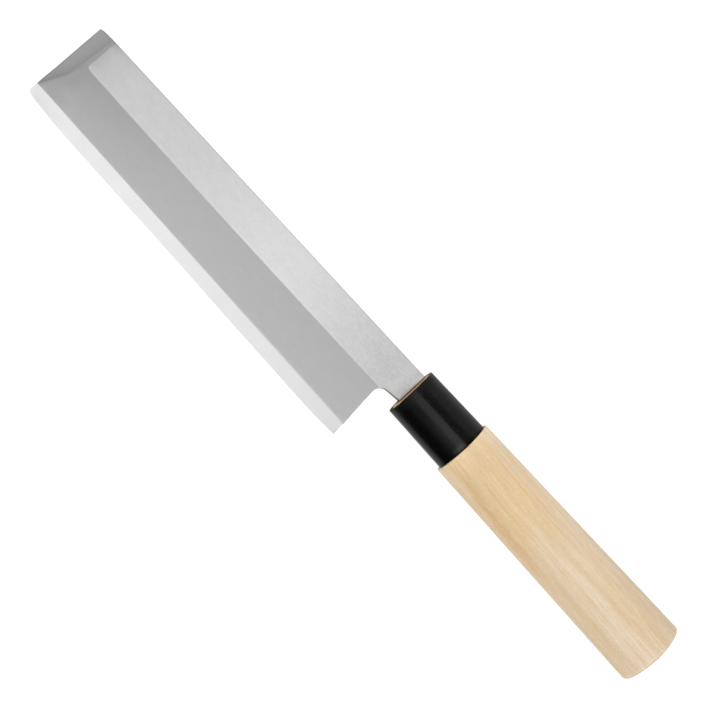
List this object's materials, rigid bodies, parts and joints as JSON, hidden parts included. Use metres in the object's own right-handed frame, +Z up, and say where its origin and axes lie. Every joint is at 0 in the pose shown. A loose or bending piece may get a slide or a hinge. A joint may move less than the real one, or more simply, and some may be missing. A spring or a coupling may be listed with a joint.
{
  "type": "usuba knife",
  "caption": "Single-bevel vegetable knife with a straight edge and square front, a laminated steel blade on a hidden tang, a black ferrule and a pale wooden grip of D section.",
  "frame": {"origin": "middle of the overall box at the table's surface; the knife lies bevelled face up on the lower front of the blade and the front rim of the grip", "axes": "+X from the blade's front to the butt, +Y from the cutting edge to the spine, +Z up from the table"},
  "size_m": [0.3048, 0.0452, 0.0247],
  "materials": {
    "cladding_steel": "satin flat face with fine lengthwise grind, hazy matte bevel",
    "hard_steel": "bright fine-ground edge strip, satin hollow back",
    "ferrule_black": "semi-gloss black moulding",
    "pale_wood": "bare sanded pale wood with fine lengthwise grain",
    "bedding_resin": "dull dark resin"
  },
  "bodies": {
    "root": {"blade_body": "cladding_steel", "edge_steel": "hard_steel", "ferrule": "ferrule_black", "handle_grip": "pale_wood", "tang_bedding": "bedding_resin"}
  },
  "joints": []
}
